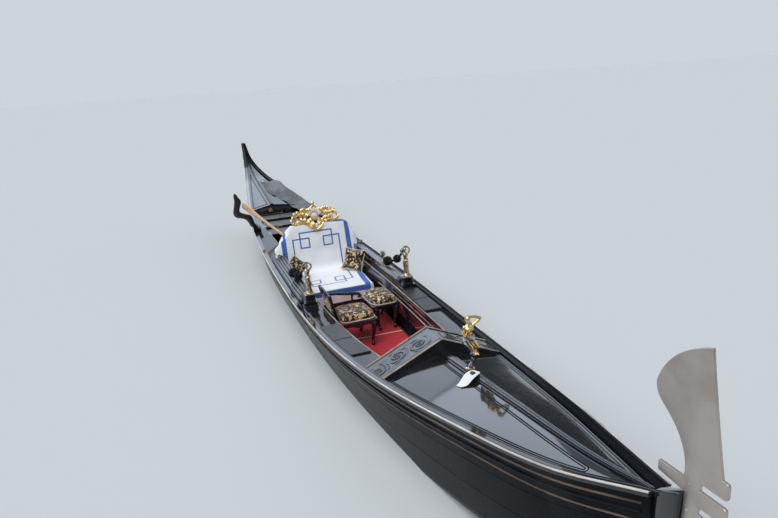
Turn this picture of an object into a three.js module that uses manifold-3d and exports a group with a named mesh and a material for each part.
import * as THREE from 'three';
import Module from 'manifold-3d';
import { mergeVertices } from 'three/addons/utils/BufferGeometryUtils.js';

// A moored gondola boat, in millimetres.
// +X points to the bow, +Y to port, +Z up; the origin is amidships on the centreline at the waterline.

// Hull lines: place along the boat, heights of sheer and keel, and half-beams at the sheer.
// The port side is the fuller one, as on the real boat.
const STATIONS = [
  { x: -5350, sheer: 1510, keel: 800, port: 34, starboard: 34 },
  { x: -5000, sheer: 1250, keel: 520, port: 72, starboard: 76 },
  { x: -4500, sheer: 1030, keel: 290, port: 200, starboard: 146 },
  { x: -4000, sheer: 905, keel: 140, port: 335, starboard: 222 },
  { x: -3000, sheer: 710, keel: -30, port: 555, starboard: 355 },
  { x: -2000, sheer: 560, keel: -130, port: 695, starboard: 440 },
  { x: -1000, sheer: 480, keel: -172, port: 780, starboard: 488 },
  { x: 0, sheer: 440, keel: -180, port: 812, starboard: 508 },
  { x: 1000, sheer: 428, keel: -168, port: 792, starboard: 512 },
  { x: 2000, sheer: 462, keel: -122, port: 715, starboard: 486 },
  { x: 3000, sheer: 556, keel: -35, port: 577, starboard: 405 },
  { x: 4000, sheer: 708, keel: 120, port: 378, starboard: 275 },
  { x: 4600, sheer: 824, keel: 290, port: 215, starboard: 178 },
  { x: 5050, sheer: 955, keel: 520, port: 46, starboard: 46 },
];
const STERN_X = STATIONS[0].x;
const BOW_X = STATIONS.at(-1).x;
const FRAME_SPACING = 200;

const GAP = 0.3;
const PLANK = 20;
const BOTTOM = 25;
const CHINE_RATIO = 0.62;
const POST_HALF = 26;
const GUNWALE = { inner: 52, outer: 14, height: 26 };
const DECK = { thickness: 18, edge: 40 };
const SIDE_DECK = { from: -2990, to: 2625, width: 240, thickness: 20 };
const INNER_PANEL = { from: -1980, to: 2625, bottom: 60, thickness: 14 };
const FOREDECK = { from: 2930, to: 4990, slope: 0.27 };
const BOARD = { from: 2630, to: 2929, slope: 0.44, rise: 24 };
const STERN_DECK = { from: -4950, to: -3001, slope: 0.16 };
const RIDGE = { half: 13, below: 22, above: 14 };
const FLOOR = { from: -1970, to: 2640, top: 20, thickness: 18 };
const CARPET = { from: 150, to: 2600, thickness: 6 };
const BULKHEAD = { bow: 2655, stern: -3022, thickness: 22, clear: 4 };
const DOOR = { thickness: 18, barrel: 8, clear: 5 };
const BOW_DOOR = { y: -120, bottom: 70, width: 400, height: 330 };
const STERN_DOOR = { y: -30, bottom: 650, width: 340, side: 38, apex: 88 };
const SEAT = { y: 130, rear: -650, front: 115, width: 740, baseTop: 172, top: 300 };
const SEAT_BACK = { half: 370, wing: 450, height: 696, thickness: 42, lean: THREE.MathUtils.degToRad(12), behind: 60 };
const CREST = { y: 160, half: 310, height: 310 };
const TOWEL = { clear: 0.6, thickness: 8, hem: 130 };
const RAIL = { from: -850, to: 780, inner: 205, outer: 60, low: 40, high: 100 };

const COLOURS = {
  lacquer: 0x0b0c0e,
  matt: 0x2a2c30,
  gilt: 0xd9a441,
  brass: 0x8a7a55,
  iron: 0xa99c8c,
  oar: 0xc79a63,
  walnut: 0x1f1713,
  leopard: 0xb98c4a,
  towel: 0xf1f2f5,
  carpet: 0xc4122b,
  wool: 0x0a0a0a,
  cloth: 0x5c5f66,
  card: 0xf4f4f0,
};
const FINISH = {
  lacquer: [0.12, 0],
  matt: [0.75, 0],
  gilt: [0.28, 1],
  brass: [0.4, 1],
  iron: [0.45, 1],
  oar: [0.5, 0],
  walnut: [0.35, 0],
  leopard: [0.85, 0],
  towel: [0.95, 0],
  carpet: [0.95, 0],
  wool: [0.95, 0],
  cloth: [0.9, 0],
  card: [0.8, 0],
};

const wasm = await Module();
wasm.setup();

const gondola = new THREE.Group();

function addPiece(name, geometry, colour, parent = gondola) {
  const [roughness, metalness] = FINISH[colour];
  const material = new THREE.MeshStandardMaterial({ color: COLOURS[colour], roughness, metalness });
  const mesh = new THREE.Mesh(geometry, material);
  mesh.name = name;
  parent.add(mesh);
  return mesh;
}

// Smooth curve through one column of the station table, read at the frames and straight between them.
function hullCurve(column) {
  const last = STATIONS.length - 1;
  const slope = STATIONS.map((_, i) => {
    const a = STATIONS[Math.max(i - 1, 0)];
    const b = STATIONS[Math.min(i + 1, last)];
    return (b[column] - a[column]) / (b.x - a.x);
  });
  const smooth = (x) => {
    const i = Math.min(Math.max(STATIONS.findIndex((s) => s.x > x) - 1, 0), last - 1);
    const k = x >= BOW_X ? last - 1 : i;
    const [a, b] = [STATIONS[k], STATIONS[k + 1]];
    const h = b.x - a.x;
    const t = (x - a.x) / h;
    const [t2, t3] = [t * t, t * t * t];
    return (2 * t3 - 3 * t2 + 1) * a[column] + (t3 - 2 * t2 + t) * h * slope[k]
      + (3 * t2 - 2 * t3) * b[column] + (t3 - t2) * h * slope[k + 1];
  };
  return (x) => {
    const frame = Math.floor((x - STERN_X) / FRAME_SPACING + 1e-9);
    const x0 = STERN_X + frame * FRAME_SPACING;
    const t = (x - x0) / FRAME_SPACING;
    return smooth(x0) * (1 - t) + (t > 1e-9 ? smooth(x0 + FRAME_SPACING) * t : 0);
  };
}

const sheer = hullCurve('sheer');
const keel = hullCurve('keel');
const halfBeam = { port: hullCurve('port'), starboard: hullCurve('starboard') };
const SIDES = [
  { side: 'port', sign: 1 },
  { side: 'starboard', sign: -1 },
];
const chine = (side, x) => POST_HALF + CHINE_RATIO * (halfBeam[side](x) - POST_HALF);
const centre = (x) => (halfBeam.port(x) - halfBeam.starboard(x)) / 2;
const plankFoot = (x) => keel(x) + BOTTOM + GAP;

// Distance from the centreline to the planking's inner face at one height.
function innerFace(side, x, z) {
  const t = (z - plankFoot(x)) / (sheer(x) - plankFoot(x));
  return chine(side, x) + t * (halfBeam[side](x) - chine(side, x)) - PLANK;
}

function framesBetween(from, to) {
  const first = Math.floor((from - STERN_X) / FRAME_SPACING + 1e-6) + 1;
  const xs = [from];
  for (let i = first; STERN_X + i * FRAME_SPACING < to - 1; i += 1) xs.push(STERN_X + i * FRAME_SPACING);
  return [...xs, to];
}

// A long piece that follows the hull: a box whose cross-section at x is given by corners (b, c) from 0 to 1.
function alongHull(from, to, section, across = 1, up = 1) {
  const xs = framesBetween(from, to);
  const geometry = new THREE.BoxGeometry(1, 1, 1, xs.length - 1, across, up);
  const position = geometry.getAttribute('position');
  for (let i = 0; i < position.count; i += 1) {
    const x = xs[Math.round((position.getX(i) + 0.5) * (xs.length - 1))];
    const [y, z] = section(x, position.getY(i) + 0.5, position.getZ(i) + 0.5);
    position.setXYZ(i, x, y, z);
  }
  return geometry;
}

const between = (a, b, t) => a + (b - a) * t;

// Turns a geometry so that its own x, y and z run along the three given axes.
function turned(geometry, xAxis, yAxis, zAxis) {
  return geometry.applyMatrix4(new THREE.Matrix4().makeBasis(xAxis, yAxis, zAxis));
}
const AXIS = {
  x: new THREE.Vector3(1, 0, 0),
  y: new THREE.Vector3(0, 1, 0),
  z: new THREE.Vector3(0, 0, 1),
};

// A board across the boat: an outline in (y, z) made `thickness` thick towards the bow from x.
function boardAcross(shape, x, thickness) {
  const geometry = new THREE.ExtrudeGeometry(shape, { depth: thickness, bevelEnabled: false, curveSegments: 8 });
  return turned(geometry, AXIS.y, AXIS.z, AXIS.x).translate(x, 0, 0);
}

// A plate along the boat: an outline in (x, z) made `thickness` thick about the plane at y.
function plateAlong(shape, y, thickness) {
  const geometry = new THREE.ExtrudeGeometry(shape, { depth: thickness, bevelEnabled: false, curveSegments: 8 });
  return turned(geometry, AXIS.x, AXIS.z, AXIS.y.clone().negate()).translate(0, y + thickness / 2, 0);
}

const outline = (points) => new THREE.Shape(points.map(([a, b]) => new THREE.Vector2(a, b)));

function blockBetween([x0, y0, z0], [x1, y1, z1]) {
  const geometry = new THREE.BoxGeometry(x1 - x0, y1 - y0, z1 - z0);
  return geometry.translate((x0 + x1) / 2, (y0 + y1) / 2, (z0 + z1) / 2);
}

// A rod between two points, with a radius at each end.
function rodBetween(start, end, radius, endRadius = radius, sides = 10) {
  const [a, b] = [new THREE.Vector3(...start), new THREE.Vector3(...end)];
  const direction = b.clone().sub(a);
  const geometry = new THREE.CylinderGeometry(endRadius, radius, direction.length(), sides);
  const turn = new THREE.Quaternion().setFromUnitVectors(AXIS.y, direction.clone().normalize());
  const middle = a.add(b).multiplyScalar(0.5);
  return geometry.applyQuaternion(turn).translate(middle.x, middle.y, middle.z);
}

function toSolid(geometry) {
  const bare = geometry.index ? geometry.toNonIndexed() : geometry.clone();
  bare.deleteAttribute('normal');
  bare.deleteAttribute('uv');
  const merged = mergeVertices(bare, 1e-3);
  return new wasm.Manifold(new wasm.Mesh({
    numProp: 3,
    vertProperties: merged.attributes.position.array,
    triVerts: new Uint32Array(merged.index.array),
  }));
}

function joined(geometries) {
  const solid = geometries.map(toSolid).reduce((a, b) => a.add(b));
  const mesh = solid.getMesh();
  const geometry = new THREE.BufferGeometry();
  geometry.setAttribute('position', new THREE.BufferAttribute(new Float32Array(mesh.vertProperties), 3));
  geometry.setIndex([...mesh.triVerts]);
  return geometry;
}

function addHull() {
  addPiece('hull_bottom', alongHull(STERN_X, BOW_X, (x, b, c) => [
    between(-chine('starboard', x), chine('port', x), b),
    keel(x) + BOTTOM * c,
  ]), 'lacquer');
  for (const { side, sign } of SIDES) {
    addPiece(`${side}_side`, alongHull(STERN_X, BOW_X, (x, b, c) => {
      const outer = between(chine(side, x), halfBeam[side](x), c);
      const inner = outer - PLANK;
      const y = sign > 0 ? between(inner, outer, b) : between(-outer, -inner, b);
      return [y, between(plankFoot(x), sheer(x), c)];
    }), 'lacquer');
    addPiece(`${side}_gunwale`, alongHull(STERN_X, BOW_X, (x, b, c) => {
      const outer = halfBeam[side](x) + GUNWALE.outer;
      const inner = Math.max(halfBeam[side](x) - GUNWALE.inner, 1);
      const y = sign > 0 ? between(inner, outer, b) : between(-outer, -inner, b);
      return [y, sheer(x) + GAP + GUNWALE.height * c];
    }), 'lacquer');
  }
}

// The solid posts that close the two ends.
function addPosts() {
  const stem = outline([
    [BOW_X + GAP, keel(BOW_X)], [BOW_X + 30, keel(BOW_X) + 25], [BOW_X + 80, 720],
    [BOW_X + 105, 880], [BOW_X + 115, 1045], [BOW_X + GAP, 985],
  ]);
  addPiece('bow_stem', plateAlong(stem, 0, 64), 'lacquer');
  const post = outline([
    [STERN_X - GAP, 800], [STERN_X - GAP, 1538], [-5428, 1562],
    [-5436, 1530], [-5425, 1250], [-5400, 1000], [-5375, 830],
  ]);
  addPiece('stern_post', plateAlong(post, 0, 60), 'lacquer');
}

// Height of a ridged deck: it passes through the gunwale's inner edge at the sheer.
function deckHeight(x, y, ridge, slope) {
  const side = y >= ridge ? 'port' : 'starboard';
  const edge = side === 'port' ? halfBeam.port(x) : halfBeam.starboard(x);
  const reach = edge - GUNWALE.inner - (side === 'port' ? ridge : -ridge);
  const peak = slope * ((halfBeam.port(x) + halfBeam.starboard(x)) / 2 - GUNWALE.inner);
  return sheer(x) + peak * (1 - Math.abs(y - ridge) / reach);
}

function addDeckPanels(prefix, deck, ridgeAt) {
  for (const { side, sign } of SIDES) {
    addPiece(`${prefix}_${side}`, alongHull(deck.from, deck.to, (x, b, c) => {
      const outer = sign * (halfBeam[side](x) - DECK.edge);
      const inner = ridgeAt(x) + sign * (RIDGE.half + GAP);
      const y = sign > 0 ? between(inner, outer, b) : between(outer, inner, b);
      return [y, deckHeight(x, y, ridgeAt(x), deck.slope) - DECK.thickness * (1 - c)];
    }), 'lacquer');
  }
  addPiece(`${prefix}_ridge`, alongHull(deck.from, deck.to, (x, b, c) => [
    ridgeAt(x) + RIDGE.half * (2 * b - 1),
    deckHeight(x, ridgeAt(x), ridgeAt(x), deck.slope) + between(-RIDGE.below, RIDGE.above, c),
  ]), 'lacquer');
}

// The carved gable across the aft end of the foredeck.
function addCarvedBoard() {
  addPiece('carved_board', alongHull(BOARD.from, BOARD.to, (x, b, c) => {
    const left = -(halfBeam.starboard(x) - GUNWALE.inner - 1);
    const right = halfBeam.port(x) - GUNWALE.inner - 1;
    const ridge = centre(x);
    const y = b < 0.5 ? between(left, ridge, b * 2) : between(ridge, right, b * 2 - 1);
    const low = deckHeight(x, y, ridge, FOREDECK.slope) - DECK.thickness;
    const high = deckHeight(x, y, ridge, BOARD.slope) + BOARD.rise;
    return [y, between(low, high, c)];
  }, 2), 'matt');
}

// Outline of a bulkhead at x: bottom, planking and the underside of a ridged deck.
function bulkheadOutline(x, ridge, slope) {
  const clear = BULKHEAD.clear;
  const foot = Math.max(plankFoot(x), plankFoot(x + BULKHEAD.thickness)) + GAP;
  const narrowest = (side, z) => Math.min(innerFace(side, x, z), innerFace(side, x + BULKHEAD.thickness, z)) - clear;
  const shoulder = Math.min(sheer(x), sheer(x + BULKHEAD.thickness)) - 30;
  const edge = { port: narrowest('port', shoulder), starboard: narrowest('starboard', shoulder) };
  const under = (y) => Math.min(
    deckHeight(x, y, ridge, slope),
    deckHeight(x + BULKHEAD.thickness, y, ridge, slope),
  ) - DECK.thickness - 2;
  return outline([
    [-narrowest('starboard', foot), foot], [narrowest('port', foot), foot],
    [edge.port, shoulder], [edge.port - 24, under(edge.port - 24)],
    [ridge, under(ridge) - 4], [-edge.starboard + 24, under(-edge.starboard + 24)], [-edge.starboard, shoulder],
  ]);
}

function addBowBulkhead() {
  const x = BULKHEAD.bow;
  const { y, bottom, width, height } = BOW_DOOR;
  const shape = bulkheadOutline(x, centre(x), FOREDECK.slope);
  const margin = 16;
  shape.holes.push(outline([
    [y + margin, bottom + margin], [y + width - margin, bottom + margin],
    [y + width - margin, bottom + height - margin], [y + margin, bottom + height - margin],
  ]));
  addPiece('bow_bulkhead', boardAcross(shape, x, BULKHEAD.thickness), 'lacquer');

  // The door hangs on its starboard edge, aft of the bulkhead, and opens aft.
  const back = x - DOOR.clear;
  const barrelX = back - DOOR.thickness / 2;
  const plan = new THREE.Shape();
  plan.moveTo(back, y + DOOR.barrel);
  plan.lineTo(back, y + width);
  plan.lineTo(back - DOOR.thickness, y + width);
  plan.lineTo(back - DOOR.thickness, y + DOOR.barrel);
  plan.absarc(barrelX, y, DOOR.barrel, Math.PI * 0.75, Math.PI * 2.25, false);
  const door = new THREE.ExtrudeGeometry(plan, { depth: height, bevelEnabled: false, curveSegments: 6 });
  addPiece('bow_locker_door', door.translate(0, 0, bottom), 'lacquer');
  const leaf = outline([
    [y - 34, bottom - 16], [y + 8, bottom - 16], [y + 8, bottom - 0.5], [y - 14, bottom - 0.5],
    [y - 14, bottom + height + 0.5], [y + 8, bottom + height + 0.5],
    [y + 8, bottom + height + 16], [y - 34, bottom + height + 16],
  ]);
  addPiece('bow_door_hinge', boardAcross(leaf, x - GAP - 22, 22), 'brass');
}

function addSternBulkhead() {
  const x = BULKHEAD.stern;
  const { y, bottom, width, side, apex } = STERN_DOOR;
  const shape = bulkheadOutline(x, 0, STERN_DECK.slope);
  const margin = 20;
  shape.holes.push(outline([
    [y - width / 2 + margin, bottom + 6], [y + width / 2 - margin, bottom + 6],
    [y + width / 2 - margin, bottom + side - 6], [y, bottom + side - 2], [y - width / 2 + margin, bottom + side - 6],
  ]));
  addPiece('stern_bulkhead', boardAcross(shape, x, BULKHEAD.thickness), 'lacquer');

  // A low gable-shaped door, hinged along its foot: it drops forward over the step.
  const back = x + BULKHEAD.thickness + DOOR.clear;
  const face = outline([
    [y - width / 2, bottom], [y + width / 2, bottom], [y + width / 2, bottom + side],
    [y, bottom + apex], [y - width / 2, bottom + side],
  ]);
  addPiece('stern_locker_door', joined([
    boardAcross(face, back, DOOR.thickness),
    rodBetween(
      [back + DOOR.thickness / 2, y - width / 2, bottom], [back + DOOR.thickness / 2, y + width / 2, bottom], DOOR.barrel,
    ),
  ]), 'lacquer');
  const end = width / 2 + 0.5;
  addPiece('stern_door_hinge', boardAcross(outline([
    [y - end - 14, bottom - 24], [y + end + 14, bottom - 24], [y + end + 14, bottom + 8], [y + end, bottom + 8],
    [y + end, bottom - 15], [y - end, bottom - 15], [y - end, bottom + 8], [y - end - 14, bottom + 8],
  ]), x + BULKHEAD.thickness + GAP, 22), 'brass');
}

// Three treads lead down from the stern deck; a bulkhead carries their fore edge.
const TREADS = [
  { name: 'stern_step_lower', to: -2000, top: 536, thickness: 40 },
  { name: 'stern_step_middle', to: -2340, top: 576, thickness: 39.7 },
  { name: 'stern_step_upper', to: -2680, top: 616, thickness: 39.7 },
];
function addSternSteps() {
  const from = BULKHEAD.stern + BULKHEAD.thickness + GAP;
  for (const { name, to, top, thickness } of TREADS) {
    addPiece(name, alongHull(from, to, (x, b, c) => {
      const z = top - thickness * (1 - c);
      const reach = (side) => Math.min(innerFace(side, x, top - thickness), innerFace(side, x, top)) - 6;
      return [between(-reach('starboard'), reach('port'), b), z];
    }), 'lacquer');
  }
  const [lower] = TREADS;
  const x = lower.to - 40;
  const foot = Math.max(plankFoot(x), plankFoot(x + 22)) + GAP;
  const head = lower.top - lower.thickness - GAP;
  const reach = (side, z) => Math.min(innerFace(side, x, z), innerFace(side, x + 22, z)) - 6;
  addPiece('aft_thwart_board', boardAcross(outline([
    [-reach('starboard', foot), foot], [reach('port', foot), foot],
    [reach('port', head), head], [-reach('starboard', head), head],
  ]), x, 22), 'lacquer');
}

function addFloor() {
  const under = FLOOR.top - FLOOR.thickness;
  addPiece('cockpit_floor', alongHull(FLOOR.from, FLOOR.to, (x, b, c) => [
    between(-innerFace('starboard', x, under) + 8, innerFace('port', x, under) - 8, b),
    under + FLOOR.thickness * c,
  ]), 'matt');
  addPiece('floor_bearer', alongHull(FLOOR.from + 40, FLOOR.to - 40, (x, b, c) => [
    centre(x) + 35 * (2 * b - 1),
    between(plankFoot(x) + GAP, under - GAP, c),
  ]), 'matt');
  const z = FLOOR.top + GAP;
  addPiece('red_carpet', alongHull(CARPET.from, CARPET.to, (x, b, c) => [
    between(-innerFace('starboard', x, z) + 40, innerFace('port', x, z) - 40, b),
    z + CARPET.thickness * c,
  ]), 'carpet');
}

function addSideDecks() {
  const boards = {
    port: { from: 940, to: 1620 },
    starboard: { from: 1500, to: 2300 },
  };
  for (const { side, sign } of SIDES) {
    const across = (x, inner, outer, b) => {
      const near = halfBeam[side](x) - inner;
      const far = halfBeam[side](x) - outer;
      return sign > 0 ? between(near, far, b) : between(-far, -near, b);
    };
    addPiece(`${side}_side_deck`, alongHull(SIDE_DECK.from, SIDE_DECK.to, (x, b, c) => {
      const width = Math.min(SIDE_DECK.width, 100 + (x - SIDE_DECK.from) * 0.1);
      return [across(x, width, DECK.edge, b), sheer(x) - SIDE_DECK.thickness * (1 - c)];
    }), 'lacquer');
    addPiece(`${side}_tread_board`, alongHull(boards[side].from, boards[side].to, (x, b, c) => [
      across(x, SIDE_DECK.width - 10, GUNWALE.inner + 6, b),
      sheer(x) + GAP + 14 * c,
    ]), 'matt');
    addPiece(`${side}_inner_panel`, alongHull(INNER_PANEL.from, INNER_PANEL.to, (x, b, c) => {
      const inner = SIDE_DECK.width - 12;
      const y = across(x, inner, inner - INNER_PANEL.thickness, b);
      const low = Math.max(INNER_PANEL.bottom, 0.35 * sheer(x));
      return [y, between(low, sheer(x) - SIDE_DECK.thickness - GAP, c)];
    }), 'lacquer');
    addPiece(`${side}_carved_rail`, alongHull(RAIL.from, RAIL.to, (x, b, c) => {
      const inward = sign > 0 ? 1 - b : b;
      const height = between(RAIL.low, RAIL.high, inward);
      return [across(x, RAIL.inner, RAIL.outer, b), sheer(x) + GAP + height * c];
    }), 'lacquer');
  }
}

// The toothed iron of the bow: an axe-shaped head, six teeth forward, one aft and a tail under the stem.
function addBowIron() {
  const teeth = { count: 6, top: 1186, pitch: 97, height: 66, tip: 5345, root: 5235 };
  const stemFront = (z) => BOW_X + 115.9 - 75 * Math.max(0, (1000 - z) / 480) ** 2;
  const shape = new THREE.Shape();
  const tailX = 4750;
  shape.moveTo(tailX, keel(tailX) - 4);
  for (const x of [4850, 4950, 5050]) shape.lineTo(x, keel(x) - 4);
  for (const z of [560, 640, 720, 800, 880, 960, 1048]) shape.lineTo(stemFront(z) - 0.3, z);
  shape.lineTo(5040, 1062);
  shape.lineTo(5040, 1104);
  shape.lineTo(5160, 1104);
  shape.quadraticCurveTo(5180, 1230, 5060, 1330);
  shape.quadraticCurveTo(5000, 1370, 5012, 1425);
  shape.quadraticCurveTo(5066, 1575, 5240, 1630);
  shape.quadraticCurveTo(5268, 1440, 5318, teeth.top);
  for (let i = 0; i < teeth.count; i += 1) {
    const top = teeth.top - i * teeth.pitch;
    const back = 55 * (i / teeth.count) ** 2;
    const [tip, root] = [teeth.tip - back, teeth.root - back];
    if (i > 0) shape.lineTo(root, top);
    shape.lineTo(tip - 14, top);
    shape.quadraticCurveTo(tip, top, tip, top - 14);
    shape.lineTo(tip, top - teeth.height + 14);
    shape.quadraticCurveTo(tip, top - teeth.height, tip - 14, top - teeth.height);
    shape.lineTo(root, top - teeth.height);
  }
  shape.quadraticCurveTo(5150, 520, 5000, keel(5000) - 44);
  shape.lineTo(tailX, keel(tailX) - 22);
  addPiece('bow_iron', plateAlong(shape, 0, 14), 'iron');
}

function addSeat() {
  const { y, rear, front, width, baseTop, top } = SEAT;
  const floor = FLOOR.top + GAP;
  const [left, right] = [y - width / 2, y + width / 2];
  addPiece('seat_base', blockBetween([rear - SEAT_BACK.behind - 2, left, floor], [front, right, baseTop]), 'lacquer');
  addPiece('seat_cushion', blockBetween([rear, left, baseTop + GAP], [front, right, top]), 'leopard');

  const lean = SEAT_BACK.lean;
  const up = new THREE.Vector2(-Math.sin(lean), Math.cos(lean));
  const forward = new THREE.Vector2(Math.cos(lean), Math.sin(lean));
  const foot = new THREE.Vector2(rear - SEAT_BACK.behind, baseTop + GAP);
  const at = (along, out) => foot.clone().addScaledVector(up, along).addScaledVector(forward, out);
  const { half, wing, height } = SEAT_BACK;
  const backShape = outline([
    [-half, 0], [half, 0], [half, 430], [wing, 470], [wing, 600], [wing - 90, height],
    [90 - wing, height], [-wing, 600], [-wing, 470], [-half, 430],
  ]);
  const leaned = boardAcross(backShape, 0, SEAT_BACK.thickness).rotateY(-lean);
  addPiece('seat_back', leaned.translate(foot.x, y, foot.y), 'lacquer');

  const meets = (out, z) => {
    const start = at(0, out);
    return start.clone().addScaledVector(up, (z - start.y) / up.y);
  };
  const near = SEAT_BACK.thickness + TOWEL.clear;
  const far = near + TOWEL.thickness;
  const [low, high] = [top + TOWEL.clear, top + TOWEL.clear + TOWEL.thickness];
  const drape = new THREE.Shape([
    at(height - 4, near), meets(near, low), new THREE.Vector2(front + 3, low),
    new THREE.Vector2(front + 3, TOWEL.hem), new THREE.Vector2(front + 3 + TOWEL.thickness, TOWEL.hem),
    new THREE.Vector2(front + 3 + TOWEL.thickness, high), meets(far, high), at(height - 4, far),
  ]);
  addPiece('towel', plateAlong(drape, y, width + 20), 'towel');

  // The gilt crest stands on the top edge of the back and leans with it.
  const crest = new THREE.Shape();
  crest.moveTo(-CREST.half, 0);
  crest.lineTo(CREST.half, 0);
  crest.quadraticCurveTo(CREST.half + 35, 110, CREST.half - 40, 210);
  crest.quadraticCurveTo(200, 250, 60, 255);
  crest.quadraticCurveTo(30, CREST.height, 0, CREST.height);
  crest.quadraticCurveTo(-30, CREST.height, -60, 255);
  crest.quadraticCurveTo(-200, 250, 40 - CREST.half, 210);
  crest.quadraticCurveTo(-CREST.half - 35, 110, -CREST.half, 0);
  const carved = boardAcross(crest, 0, 30).rotateY(-lean);
  const seatTop = at(height + GAP, 6);
  addPiece('seat_crest', carved.translate(seatTop.x, CREST.y, seatTop.y), 'gilt');
}

function addPillows() {
  const pillows = [
    { name: 'starboard_pillow', x: -480, y: -108, lean: -0.45, turn: 0.3 },
    { name: 'port_pillow', x: -440, y: 405, lean: -0.45, turn: -0.5 },
  ];
  const size = 280;
  const thickness = 90;
  for (const { name, x, y, lean, turn } of pillows) {
    const geometry = new THREE.BoxGeometry(thickness, size, size);
    geometry.rotateY(lean).rotateZ(turn);
    geometry.computeBoundingBox();
    const rest = SEAT.top + TOWEL.clear + TOWEL.thickness + GAP;
    addPiece(name, geometry.translate(x, y, rest - geometry.boundingBox.min.z), 'leopard');
  }
}

// A brass figure on a stepped black block, turned about its own upright axis.
const FIGURE = { x: 850, offset: 140, step: 50, block: 122 };
function railFigure(x, y, z) {
  const profile = [[0, 0], [46, 0], [46, 14], [30, 24], [20, 40], [34, 90], [26, 150], [30, 200], [14, 236],
    [22, 270], [20, 305], [0, 325]];
  const figure = new THREE.LatheGeometry(profile.map(([r, h]) => new THREE.Vector2(r, h)), 14).rotateX(Math.PI / 2);
  const step = blockBetween([x - 62, y - 70, z], [x + 62, y + 70, z + FIGURE.step]);
  const block = blockBetween([x - 52, y - 52, z + FIGURE.step - 1], [x + 52, y + 52, z + FIGURE.block]);
  return joined([step, block, figure.translate(x, y, z + FIGURE.block - 0.5)]);
}

// Wool tassels on one cord: the first rests on the rail, the second hangs where the cord runs up to the figure.
const TASSELS = {
  port: { resting: { x: 265, radius: 58 }, hanging: { x: 580, rise: 245, radius: 48 } },
  starboard: { resting: { x: 125, radius: 58 }, hanging: { x: 395, rise: 185, radius: 52 } },
};
const ROSETTE = { x: 110, profile: [[0, 0], [28, 0], [9, 22], [13, 44], [36, 84], [28, 118], [0, 136]] };
function addRailFigures() {
  const { x, offset } = FIGURE;
  const share = (RAIL.inner - offset) / (RAIL.inner - RAIL.outer);
  const railTop = between(RAIL.high, RAIL.low, share);
  const tilt = Math.atan((RAIL.high - RAIL.low) / (RAIL.inner - RAIL.outer));
  for (const { side, sign } of SIDES) {
    const seatAt = (bx) => sign * (halfBeam[side](bx) - offset);
    addPiece(`${side}_rail_figure`, railFigure(x, seatAt(x), sheer(x) + GAP + 0.6), 'brass');
    const { resting, hanging } = TASSELS[side];
    const low = [resting.x, seatAt(resting.x), sheer(resting.x) + railTop + 2 * GAP + resting.radius / Math.cos(tilt)];
    const high = [hanging.x, seatAt(hanging.x), sheer(hanging.x) + hanging.rise];
    const end = [x - 34, seatAt(x), sheer(x) + FIGURE.block + 285];
    const ball = (centreOf, radius) => new THREE.SphereGeometry(radius, 12, 8).translate(...centreOf);
    addPiece(`${side}_tassels`, joined([
      ball(low, resting.radius), ball(high, hanging.radius), rodBetween(low, high, 9), rodBetween(high, end, 9),
    ]), 'wool');
  }
  const flower = new THREE.LatheGeometry(ROSETTE.profile.map(([r, h]) => new THREE.Vector2(r, h)), 12);
  const [rx, ry] = [ROSETTE.x, halfBeam.port(ROSETTE.x) - offset];
  const foot = sheer(rx) + railTop + 2 * GAP + ROSETTE.profile[1][0] * Math.tan(tilt);
  addPiece('port_rail_rosette', flower.rotateX(Math.PI / 2).translate(rx, ry, foot), 'brass');
}

// A low chair frame: four legs, an apron and, where it has one, a back with an arm.
const BACK_LEAN = 0.24;
function seatFrame({ x, y, length, depth, top, back }) {
  const foot = FLOOR.top + CARPET.thickness + 3 * GAP + 2;
  const corners = [[-1, -1], [1, -1], [1, 1], [-1, 1]];
  const legs = corners.map(([a, b]) => rodBetween(
    [x + a * (length / 2 + 6), y + b * (depth / 2 - 60), foot],
    [x + a * (length / 2 - 26), y + b * (depth / 2 - 30), top - 20], 15, 24, 8,
  ));
  const apron = blockBetween([x - length / 2, y - depth / 2, top - 60], [x + length / 2, y + depth / 2, top]);
  if (!back) return joined([...legs, apron]);
  const rear = y - depth / 2 + 14;
  const out = rear - BACK_LEAN * (back - top);
  const postX = (a) => x + a * (length / 2 - 24);
  const posts = [-1, 1].map((a) => rodBetween([postX(a), rear, top - 20], [postX(a), out, back], 17, 15, 8));
  const crest = rodBetween([postX(-1) - 12, out, back], [postX(1) + 12, out, back], 20, 20, 8);
  const armX = x - length / 2 - 4;
  const armRoot = top + 200;
  const arm = [
    rodBetween([postX(-1), rear - BACK_LEAN * (armRoot - top), armRoot], [armX, y, top + 160], 13, 16, 8),
    rodBetween([armX, y - 6, top + 161], [armX, y + 145, top + 138], 16, 16, 8),
    rodBetween([armX, y + 137, top + 140], [armX, y + 156, top + 106], 16, 13, 8),
    rodBetween([armX, y + 78, top + 146], [armX, y + 84, top - 24], 13, 13, 8),
  ];
  return joined([...legs, apron, ...posts, crest, ...arm]);
}

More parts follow.
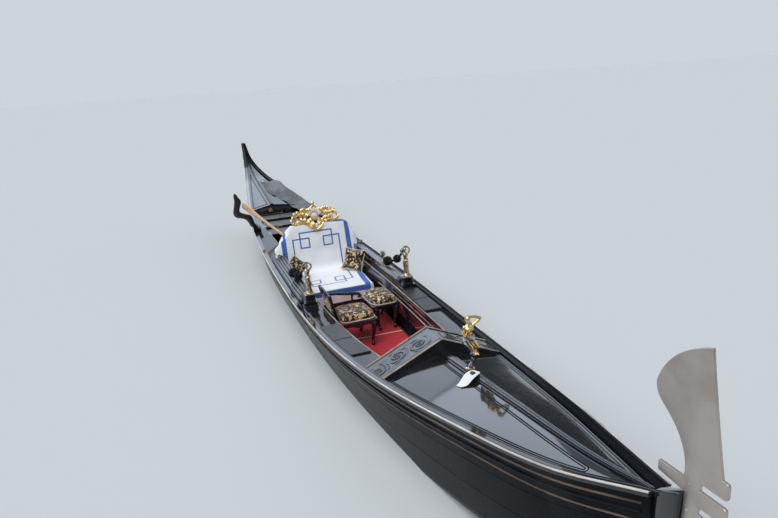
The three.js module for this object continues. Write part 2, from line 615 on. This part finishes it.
function addChairs() {
  const chair = { x: 990, y: 5, length: 410, depth: 400, top: 300, back: 596 };
  addPiece('chair_frame', seatFrame(chair), 'lacquer');
  const pad = (seat, rim) => blockBetween(
    [seat.x - seat.length / 2 + rim, seat.y - seat.depth / 2 + rim + 26, seat.top + GAP],
    [seat.x + seat.length / 2 - rim - 6, seat.y + seat.depth / 2 - rim, seat.top + 76],
  );
  addPiece('chair_seat', pad(chair, 10), 'leopard');

  // The back pad leans with the posts and hangs under the top rail.
  const padHeight = 215;
  const backPad = new THREE.BoxGeometry(chair.length - 110, 20, padHeight);
  const position = backPad.getAttribute('position');
  const middle = chair.back - 20.4 - padHeight / 2;
  for (let i = 0; i < position.count; i += 1) {
    const z = middle + position.getZ(i);
    const rear = chair.y - chair.depth / 2 + 14 - BACK_LEAN * (z - chair.top);
    position.setXYZ(i, chair.x + position.getX(i), rear + position.getY(i), z);
  }
  addPiece('chair_back_pad', backPad, 'leopard');
  const stool = { x: 662, y: 408, length: 440, depth: 296, top: 300 };
  addPiece('stool_frame', seatFrame(stool), 'lacquer');
  addPiece('stool_seat', blockBetween(
    [stool.x - 212, stool.y - 140, stool.top + GAP], [stool.x + 212, stool.y + 140, stool.top + 76],
  ), 'leopard');
}

// The oarlock: a broad carved crook that leans out over the starboard gunwale, set in a block on it.
const FORCOLA = { x: -2130, thickness: 62, block: 36 };
function addForcola() {
  const { x, thickness, block } = FORCOLA;
  const foot = (bx) => sheer(bx) + GUNWALE.height + 2 * GAP;
  const top = foot(x) + block;
  addPiece('forcola_block', alongHull(x - 90, x + 90, (bx, b, c) => [
    between(-halfBeam.starboard(bx) - 8, -halfBeam.starboard(bx) + 96, b),
    between(foot(bx), Math.max(top, foot(bx) + 20), c),
  ]), 'lacquer');
  const crook = outline([
    [-442, top + GAP], [-362, top + GAP], [-404, 700], [-424, 776], [-449, 819], [-510, 845], [-588, 874],
    [-602, 893], [-597, 946], [-568, 1026], [-588, 1090], [-619, 1145], [-647, 1136], [-631, 1048], [-650, 954],
    [-672, 877], [-660, 835], [-625, 811], [-533, 771], [-490, 717], [-472, 660],
  ]);
  addPiece('forcola', boardAcross(crook, x - thickness / 2, thickness), 'walnut');
}

// The oar is stowed: its blade lies in the oarlock and its handle on the floor behind the seat.
function addOar() {
  const blade = new THREE.Vector3(-2150, -548, 984.3);
  const along = new THREE.Vector3(530, 458, -423).normalize();
  const length = 1830;
  const geometry = new THREE.CylinderGeometry(1, 1, length, 10, 12);
  const position = geometry.getAttribute('position');
  for (let i = 0; i < position.count; i += 1) {
    const t = 0.5 - position.getY(i) / length;
    const half = THREE.MathUtils.lerp(62, 22, THREE.MathUtils.smoothstep(t, 0.12, 0.62));
    const thin = THREE.MathUtils.lerp(9, 22, THREE.MathUtils.smoothstep(t, 0.05, 0.62));
    position.setX(i, position.getX(i) * half);
    position.setZ(i, position.getZ(i) * thin);
  }
  geometry.translate(0, -length / 2, 0);
  const side = new THREE.Vector3().crossVectors(along, AXIS.z).normalize();
  const upright = new THREE.Vector3().crossVectors(side, along).normalize();
  turned(geometry, upright, along.clone().negate(), side);
  addPiece('oar', geometry.translate(blade.x, blade.y, blade.z), 'oar');
}

function addForedeckFigure() {
  const x = 3360;
  const y = centre(x);
  const z = deckHeight(x + 40, y, y, FOREDECK.slope) + RIDGE.above + 1;
  const profile = [[0, 0], [40, 0], [34, 20], [20, 50], [22, 86], [24, 100], [30, 150], [36, 205], [26, 236],
    [34, 276], [12, 298], [24, 326], [0, 354]];
  const body = new THREE.LatheGeometry(profile.map(([r, h]) => new THREE.Vector2(r, h)), 12).rotateX(Math.PI / 2);
  const elbow = [x - 10, y + 92, z + 312];
  addPiece('foredeck_figure', joined([
    body.translate(x, y, z),
    rodBetween([x, y + 20, z + 272], elbow, 12, 11, 8),
    rodBetween(elbow, [x, y + 10, z + 348], 11, 10, 8),
  ]), 'gilt');
  addPiece('white_card', cardOnDeck(x + 86, y - 82), 'card');
}

// A small blank card that lies on the starboard foredeck panel, turned a little.
function cardOnDeck(x, y) {
  const geometry = new THREE.BoxGeometry(98, 116, 3).rotateZ(0.1);
  const position = geometry.getAttribute('position');
  for (let i = 0; i < position.count; i += 1) {
    const [px, py] = [x + position.getX(i), y + position.getY(i)];
    const deck = deckHeight(px, py, centre(px), FOREDECK.slope);
    position.setXYZ(i, px, py, deck + 1.5 + position.getZ(i) + 3 * GAP);
  }
  return geometry;
}

// Grey cloth laid over the port half of the stern and down outside the gunwale.
function addSternCover() {
  addPiece('stern_cover', alongHull(-4160, -2720, (x, b, c) => {
    const inner = 60 + Math.max(0, x + 3600) * 0.36;
    const outer = halfBeam.port(x) + GUNWALE.outer;
    const y = between(inner, outer, b);
    const top = Math.max(
      x < STERN_DECK.to + FRAME_SPACING ? deckHeight(x, Math.min(y, outer - 70), 0, STERN_DECK.slope) : sheer(x),
      sheer(x) + GAP + GUNWALE.height,
    );
    return [y, top + 1 + 10 * c];
  }, 3), 'cloth');
}

addHull();
addPosts();
addDeckPanels('foredeck', FOREDECK, centre);
addDeckPanels('stern_deck', STERN_DECK, () => 0);
addCarvedBoard();
addBowBulkhead();
addSternBulkhead();
addSternSteps();
addFloor();
addSideDecks();
addBowIron();
addSeat();
addPillows();
addRailFigures();
addChairs();
addForcola();
addOar();
addForedeckFigure();
addSternCover();

export default gondola;
